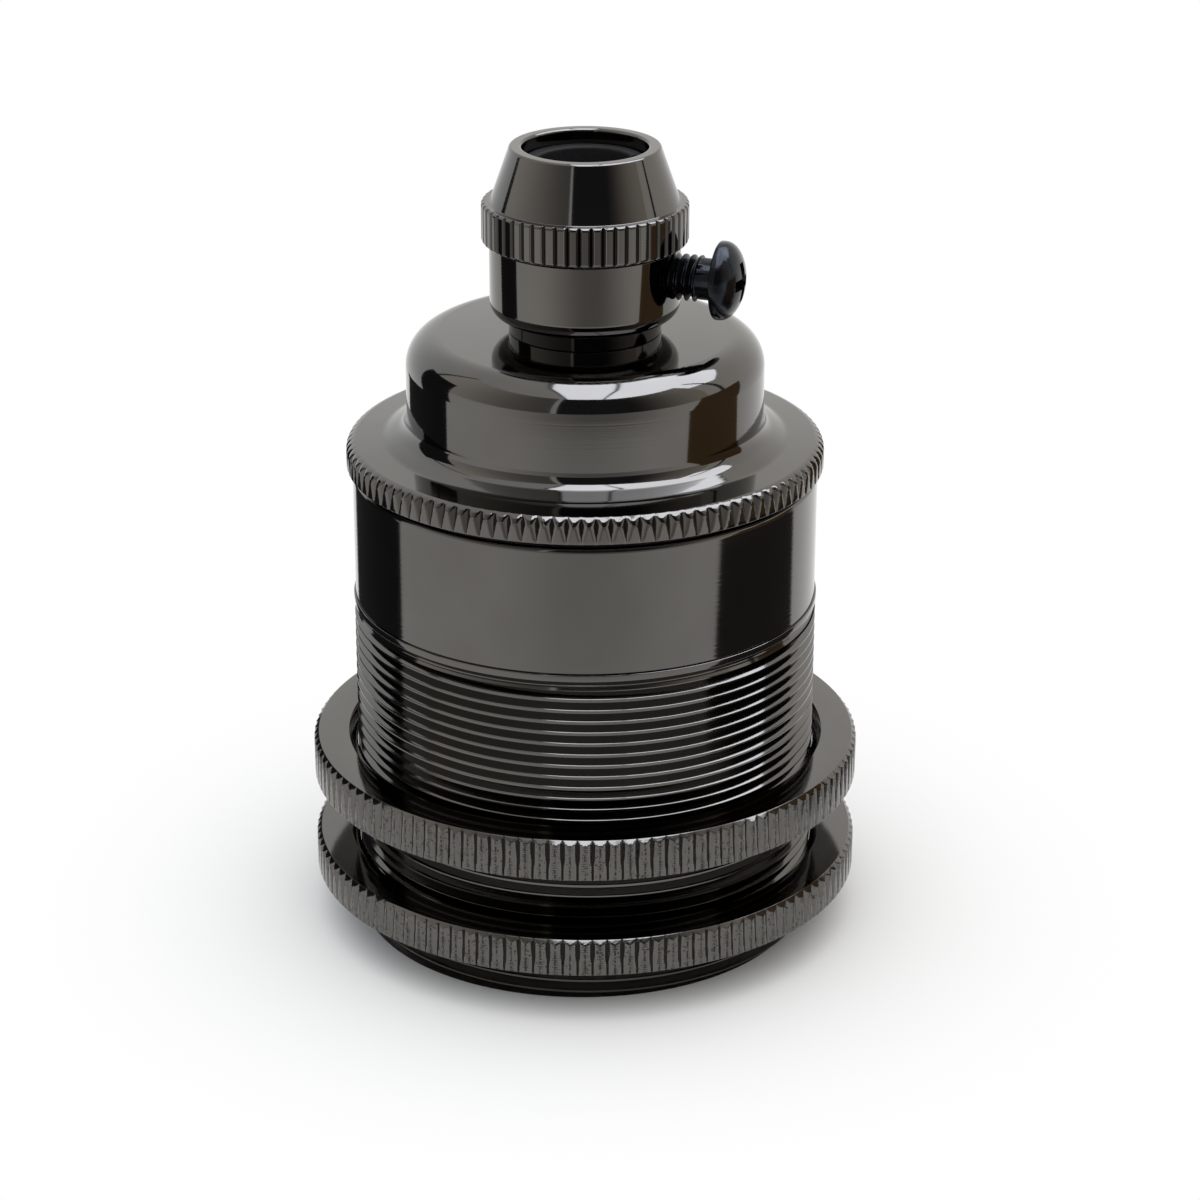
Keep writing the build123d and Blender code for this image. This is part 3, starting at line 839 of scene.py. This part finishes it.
def recess_cutter(top):
    """The cross that a screwdriver fits: two blocks that taper towards the recess's floor."""
    mesh = bmesh.new()
    for turn in range(2):
        made = bmesh.ops.create_cube(mesh, size=1)["verts"]
        for vert in made:
            deep = vert.co.z < 0
            vert.co.x *= RECESS_SPAN * (0.55 if deep else 1.15)
            vert.co.y *= RECESS_WIDTH * (0.7 if deep else 1.1)
            vert.co.z = top + (-RECESS_DEPTH if deep else RECESS_ABOVE)
        bmesh.ops.rotate(
            mesh, verts=made, cent=(0, 0, 0), matrix=Matrix.Rotation(turn * TAU / 4, 3, "Z")
        )
    return mesh


def make_clamp_screw():
    """The clamp screw: threaded shank, neck and domed head with a cross recess."""
    out = Vector((math.cos(SCREW_TURN), -math.sin(SCREW_TURN), 0))
    head_end = SCREW_STAND_OFF + SCREW_HEAD_HEIGHT
    tip = SCREW_STAND_OFF - SCREW_LENGTH
    neck = SCREW_STAND_OFF - SCREW_NECK_LENGTH
    dome_rise = SCREW_HEAD_HEIGHT - SCREW_HEAD_SIDE
    head = turned([
        (0, tip, 0),
        (SCREW_CORE - 0.1, tip, 0.1),
        (SCREW_CORE - 0.1, neck - 0.1, 0),
        (SCREW_NECK, neck, 0),
        (SCREW_NECK, SCREW_STAND_OFF, 0.1),
        (SCREW_HEAD_RADIUS, SCREW_STAND_OFF, 0.15),
        (SCREW_HEAD_RADIUS, SCREW_STAND_OFF + SCREW_HEAD_SIDE, 0),
        *[
            (SCREW_HEAD_RADIUS * math.cos(rise), head_end - dome_rise * (1 - math.sin(rise)), 0)
            for rise in (TAU / 4 * step / DOME_STEPS for step in range(1, DOME_STEPS + 1))
        ],
    ], steps=72)
    thread = [
        (SCREW_CORE, 0.0),
        (SCREW_CORE, 0.12),
        (SCREW_RADIUS, 0.5),
        (SCREW_RADIUS, 0.62),
    ]
    skin = screw_skin(thread, SCREW_PITCH, tip + 0.05, neck, SCREW_CORE - 0.3, steps=64)
    join_into(head, skin)
    place = Matrix.Translation((0, 0, low("cord_grip").z + SCREW_LEVEL))
    place = place @ out.to_track_quat("Z", "Y").to_matrix().to_4x4()
    aimed(head, place)
    made = piece("side_screw", head, "clamp_screw", "black_screw", sharp=35.0)
    cutter = recess_cutter(head_end)
    aimed(cutter, place)
    cut_with(made, cutter)


LINER_RADIUS = 5.2
LINER_WALL = 1.2
LINER_GAP = 4.6
LINER_EDGE = 0.25


def make_liner():
    """The split nylon sleeve in the grip's bore, with a rounded top edge and room for the screw."""
    bottom = low("grip_liner").z
    top = high("grip_liner").z
    mesh = bmesh.new()
    outline = [
        (LINER_RADIUS - LINER_WALL, bottom),
        (LINER_RADIUS, bottom),
        (LINER_RADIUS, top),
        (LINER_RADIUS - LINER_WALL, top),
    ]
    corners = [mesh.verts.new((radius, 0, height)) for radius, height in outline]
    edges = [mesh.edges.new(pair) for pair in zip(corners, corners[1:] + corners[:1])]
    for corner in corners[2:]:
        bmesh.ops.bevel(
            mesh, geom=[corner], offset=LINER_EDGE, offset_type="OFFSET", segments=4, profile=0.5,
            affect="VERTICES", material=-1,
        )
    half_gap = math.asin(LINER_GAP / 2 / (LINER_RADIUS - LINER_WALL))
    wall = bmesh.ops.contextual_create(mesh, geom=mesh.edges[:])["faces"]
    bmesh.ops.rotate(
        mesh, verts=mesh.verts, cent=(0, 0, 0),
        matrix=Matrix.Rotation(half_gap - SCREW_TURN, 3, "Z"),
    )
    bmesh.ops.spin(
        mesh, geom=mesh.verts[:] + mesh.edges[:] + wall, cent=(0, 0, 0), axis=(0, 0, 1),
        angle=TAU - 2 * half_gap, steps=72, use_merge=False,
    )
    piece("liner", mesh, "grip_liner", "black_plastic")


SHELL_BORE = 13.3
SHELL_THREAD_BORE = 12.25
SHELL_SHEET = 0.4
SHELL_PITCH = 3.629
SHELL_THREAD_LOW = 8.6
SHELL_BORE_END = 25.5
SHELL_NECK_BORE = 12.4
SHELL_SHOULDER_END = 26.4
SHELL_FADE = 1.6
SHELL_FLANGE_BORE = 7.2
SHELL_FLANGE_START = 3.2
SHELL_FLANGE_OVERLAP = 0.05


def thread_depth(turn, height):
    """How far in the rolled lamp thread stands, from 0 at the plain mouth and shoulder to 1."""
    fade_in = min(1, max(0, (height - SHELL_THREAD_LOW) / SHELL_FADE))
    fade_out = min(1, max(0, (SHELL_BORE_END - height) / SHELL_FADE))
    wave = 0.5 - 0.5 * math.cos(TAU * (height / SHELL_PITCH - turn))
    return wave * min(fade_in, fade_out)


def make_shell():
    """The screw shell, its lamp thread rolled as a real helix, with a half flange on top."""
    bottom = low("screw_shell").z
    top = high("screw_shell").z
    mesh = turned([
        (SHELL_BORE, bottom, 0),
        (SHELL_BORE + SHELL_SHEET, bottom, 0),
        (SHELL_BORE + SHELL_SHEET, SHELL_BORE_END, 0),
        (SHELL_NECK_BORE + SHELL_SHEET, SHELL_SHOULDER_END, 0),
        (SHELL_NECK_BORE + SHELL_SHEET, top, 0),
        (SHELL_NECK_BORE, top, 0),
        (SHELL_NECK_BORE, SHELL_SHOULDER_END, 0),
        (SHELL_BORE, SHELL_BORE_END, 0),
    ], steps=144, rows={1: 80, 7: 80})
    for vert in mesh.verts:
        inward = (SHELL_BORE - SHELL_THREAD_BORE) * thread_depth(turn_of(vert), vert.co.z)
        scale_radius(vert, 1 - inward / radius_of(vert))
    flange_radius = SHELL_NECK_BORE + SHELL_FLANGE_OVERLAP
    flange = turned([
        (SHELL_FLANGE_BORE, top - SHELL_SHEET, 0),
        (flange_radius, top - SHELL_SHEET, 0),
        (flange_radius, top, 0),
        (SHELL_FLANGE_BORE, top, 0),
    ], steps=96)
    cut = bmesh.ops.bisect_plane(
        flange, geom=flange.verts[:] + flange.edges[:] + flange.faces[:], dist=CUT_DISTANCE,
        plane_co=(SHELL_FLANGE_START, 0, 0), plane_no=(-1, 0, 0), clear_outer=True,
    )
    rim = [item for item in cut["geom_cut"] if isinstance(item, bmesh.types.BMEdge)]
    bmesh.ops.edgeloop_fill(flange, edges=rim)
    join_into(mesh, flange)
    piece("lamp_shell", mesh, "screw_shell", "nickel_sheet")


def dress_nodes():
    """The small inner nodes keep their CAD shape and get their finish."""
    for node, shown in frame["nodes"].items():
        shown.data.materials.clear()
        shown.data.materials.append(MATERIALS[slots[node]])


# Studio

WHITE = (1, 1, 1, 1)
FLOOR_SIZE = 3000
FLOOR_DROP = 0.02
FLOOR_COLOUR = (0.9, 0.9, 0.9, 1)
WHITE_FROM = 18.0
WHITE_BEYOND = 60.0
SHADE_RISE = 0.3
ROOM_GLOSS = 1.0
ROOM_LIGHT = 0.68
ROOM_COOL = (0.93, 0.98, 1.03, 1)
ROOM_WARM = (1.0, 0.985, 0.965, 1)


def make_floor():
    """A plain white floor with the holder's soft shadow, seen as pure white further out.

    From below it is clear, so that the lamp's mouth can be looked at.
    """
    mesh = bmesh.new()
    bmesh.ops.create_grid(mesh, x_segments=1, y_segments=1, size=FLOOR_SIZE / 2 * MM)
    bmesh.ops.translate(mesh, vec=(0, 0, -FLOOR_DROP * MM), verts=mesh.verts)
    floor = to_object("floor", mesh)
    material, tree = new_material("floor")
    _, (x, y, _) = place_of(tree)
    camera, glossy = camera_and_gloss(tree)
    share = distance_across(x, y).between(WHITE_FROM, WHITE_BEYOND) * camera.larger(glossy)
    lit = add_node(tree, "ShaderNodeBsdfDiffuse", values={"Color": FLOOR_COLOUR})
    above = add_node(tree, "ShaderNodeMixShader", values={0: share, 1: lit, 2: glow(tree, WHITE)})
    clear = add_node(tree, "ShaderNodeBsdfTransparent")
    below = add_node(tree, "ShaderNodeNewGeometry", output="Backfacing")
    show(tree, add_node(tree, "ShaderNodeMixShader", values={0: below, 1: above, 2: clear}))
    floor.data.materials.append(material)


def make_room():
    """A white room: cooler on the left and warmer on the right where polished metal sees it.

    Metal sees it at full strength, and it lights the rest softly.
    """
    world = bpy.data.worlds.new("room")
    world.use_nodes = True
    tree = world.node_tree
    tree.nodes.clear()
    direction = add_node(tree, "ShaderNodeTexCoord", output="Generated")
    x = add_node(tree, "ShaderNodeSeparateXYZ", values={0: direction}, output="X")
    camera, glossy = camera_and_gloss(tree)
    strength = camera.larger(glossy) * (ROOM_GLOSS - ROOM_LIGHT) + ROOM_LIGHT
    tint = mix_colours(x.between(-0.9, 0.2), ROOM_COOL, ROOM_WARM)
    tint = mix_colours(camera, tint, WHITE)
    background = add_node(tree, "ShaderNodeBackground", values={0: tint, 1: strength})
    add_node(tree, "ShaderNodeOutputWorld", values={"Surface": background})
    bpy.context.scene.world = world


def softbox(name, low_corner, high_corner, height, radiance):
    """A rectangular lamp that hangs level and shines down, corners in millimetres.

    Polished metal doesn't see it: the panes and cards are what shows there.
    """
    light = bpy.data.lights.new(name, "AREA")
    light.shape = "RECTANGLE"
    light.size = (high_corner[0] - low_corner[0]) * MM
    light.size_y = (high_corner[1] - low_corner[1]) * MM
    light.energy = radiance * math.pi * light.size * light.size_y
    holder = bpy.data.objects.new(name, light)
    holder.location = (
        (low_corner[0] + high_corner[0]) / 2 * MM,
        (low_corner[1] + high_corner[1]) / 2 * MM,
        height * MM,
    )
    holder.visible_glossy = False
    bpy.context.scene.collection.objects.link(holder)


def hang_card(name, mesh):
    """Makes a studio card of a mesh in millimetres, and gives its material's tree.

    Only polished metal sees a card.
    """
    bmesh.ops.scale(mesh, vec=(MM, MM, MM), verts=mesh.verts)
    card = to_object(name, mesh)
    card.visible_camera = False
    card.visible_diffuse = False
    card.visible_shadow = False
    material, tree = new_material(name)
    card.data.materials.append(material)
    return tree


def curved_card(name, start, end, radius, bottom, top, colour, faded=None, fade_from=0, lean=0):
    """A curved card round the holder, from start to end degrees, counted from -Y towards +X.

    With a faded colour, it turns to that colour from fade_from to its end. Lean is how many
    degrees further on it starts at its top.
    """
    mesh = bmesh.new()
    foot = Vector((0, -radius, 0))
    foot.rotate(Matrix.Rotation(math.radians(start), 3, "Z"))
    line = [mesh.verts.new((foot.x, foot.y, height)) for height in (bottom, top)]
    edge = mesh.edges.new(line)
    bmesh.ops.spin(
        mesh, geom=line + [edge], cent=(0, 0, 0), axis=(0, 0, 1),
        angle=math.radians(end - start), steps=24, use_merge=False,
    )
    for vert in mesh.verts:
        turn = math.degrees(math.atan2(vert.co.x, -vert.co.y))
        if vert.co.z == top:
            left = (end - turn) / (end - start)
            vert.co.rotate(Matrix.Rotation(math.radians(lean * left), 3, "Z"))
    tree = hang_card(name, mesh)
    shade = (*colour, 1)
    if faded:
        _, (x, y, _) = place_of(tree)
        share = x.angle(-1 * y).between(math.radians(fade_from), math.radians(end))
        shade = mix_colours(share, shade, (*faded, 1))
    show(tree, glow(tree, shade))


def bright_pane(name, corners, height, radiance):
    """A level window pane overhead, which the polished metal mirrors."""
    mesh = bmesh.new()
    rim = [mesh.verts.new((x, y, height)) for x, y in corners]
    bmesh.ops.contextual_create(mesh, geom=rim)
    tree = hang_card(name, mesh)
    show(tree, glow(tree, PANE_COLOUR, radiance))


def floor_shade(name, middle, inner, outer, depth):
    """A round patch that is dim in its middle, which the metal sees on the floor."""
    mesh = bmesh.new()
    bmesh.ops.create_circle(mesh, cap_ends=True, segments=48, radius=outer)
    bmesh.ops.translate(mesh, vec=(*middle, SHADE_RISE), verts=mesh.verts)
    tree = hang_card(name, mesh)
    _, (x, y, _) = place_of(tree)
    distance = distance_across(x - middle[0], y - middle[1])
    share = (1 - distance.between(inner, outer)) * depth
    clear = add_node(tree, "ShaderNodeBsdfTransparent")
    dark = glow(tree, (0, 0, 0, 1))
    show(tree, add_node(tree, "ShaderNodeMixShader", values={0: share, 1: clear, 2: dark}))


LAMP_HEIGHT = 650
LAMP_RADIANCE = 1.05
PANE_HEIGHT = 650
PANE_COLOUR = (0.93, 0.98, 1.1, 1)
PANE_RADIANCE = 5.4
FRAME_RADIANCE = 0.3
LEFT_PANE = ((-112, -430), (113, -430), (113, -60), (52, 440), (-45, 430), (-112, 10))
RIGHT_PANE = ((128, -430), (580, -300), (860, 236), (470, 484), (62, 440), (128, -50))
WINDOW_FRAME = (
    (-130, -450), (128, -450), (600, -320), (885, 236), (480, 505), (-58, 452), (-130, 10),
)

# The cards round the holder: how far out they stand, and the lower and upper edges of the far ones
NEAR = 62
FAR = 150
FAR_HIGH = (60, 240)
FAR_LOW = (1, 60)
CARD_BLACK = (0.03, 0.03, 0.033)
CARD_DIM = (0.38, 0.37, 0.36)
CARD_WHITE = (1.0, 0.99, 0.97)


def make_studio():
    """Soft light from above, two window panes, and dark cards at the sides and by the camera."""
    softbox("top_light", (-500, -850), (500, 450), LAMP_HEIGHT, LAMP_RADIANCE)
    bright_pane("pane_left", LEFT_PANE, PANE_HEIGHT, PANE_RADIANCE)
    bright_pane("pane_right", RIGHT_PANE, PANE_HEIGHT, PANE_RADIANCE)
    bright_pane("window_frame", WINDOW_FRAME, PANE_HEIGHT + 1, FRAME_RADIANCE)
    curved_card("card_left", -140, -88.5, NEAR, 0, 34, CARD_BLACK)
    curved_card("card_left_top", -113, -84, NEAR, 34, 75, CARD_BLACK)
    curved_card("card_right", 55, 108, NEAR, 0, 24, (0.055, 0.052, 0.05), lean=4)
    curved_card("card_right_top", 59, 102, NEAR, 24, 57, (0.17, 0.11, 0.06), lean=10)
    curved_card("card_front", -17, 80, FAR, *FAR_HIGH, (0.045, 0.045, 0.05), (0.7, 0.65, 0.6), 27)
    curved_card("card_dim", -20.5, -110, FAR, *FAR_HIGH, (0.26, 0.25, 0.24), (0.95, 0.93, 0.9), -20)
    curved_card("card_edge_right", 91, 94, FAR, *FAR_HIGH, (0.03, 0.03, 0.03))
    curved_card("card_edge_left", -113, -110, FAR, *FAR_HIGH, (0.1, 0.1, 0.1))
    curved_card("card_low_left", 8, -62, FAR, *FAR_LOW, CARD_DIM, CARD_WHITE, 4)
    curved_card("card_low_right", 8, 66, FAR, *FAR_LOW, CARD_DIM, CARD_WHITE, 12)
    floor_shade("floor_shade", (0, -130), 10, 105, 0.26)


place_camera()
make_floor()
make_room()
make_studio()
dress_nodes()
make_sleeve()
make_ring("upper_shade_ring")
make_ring("lower_shade_ring")
make_cap()
make_grip()
make_clamp_screw()
make_liner()
make_shell()

bpy.context.scene.view_settings.view_transform = "Standard"
